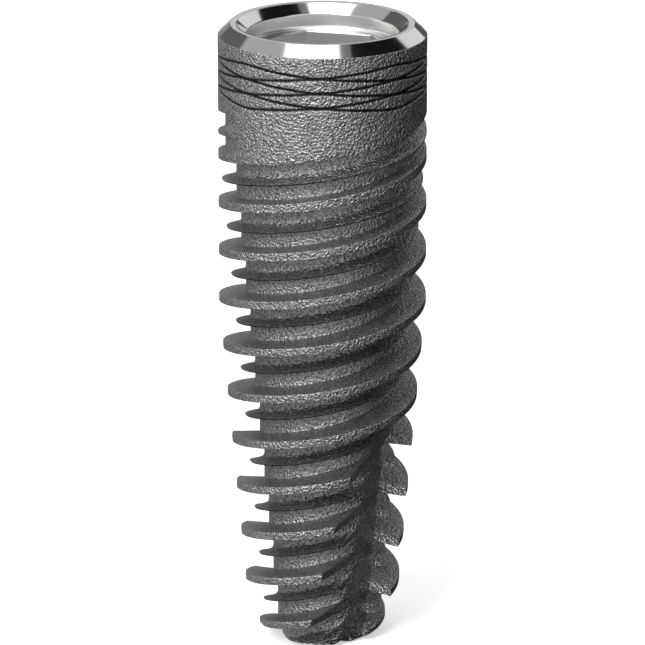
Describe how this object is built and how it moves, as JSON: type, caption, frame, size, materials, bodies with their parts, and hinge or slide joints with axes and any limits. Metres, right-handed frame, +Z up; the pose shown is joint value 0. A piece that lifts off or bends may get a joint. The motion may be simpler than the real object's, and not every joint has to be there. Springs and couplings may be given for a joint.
{
  "type": "dental implant",
  "caption": "Tapered root-form dental implant: threaded body with helical cutting flutes, blunt apex and a bevelled platform round an internal hex socket.",
  "frame": {"origin": "on the floor, under the middle of the flat apex, on the implant's axis", "axes": "+Z up along the implant's axis, from the apex to the platform and out of the socket; -Y towards the side that the picture shows; +X to the right as seen from there"},
  "size_m": [0.0042, 0.0042, 0.013],
  "materials": {
    "titanium": "grit-blasted and etched titanium, dull mid-grey; platform and socket polished"
  },
  "bodies": {
    "root": {"implant_body": "titanium"}
  },
  "joints": []
}
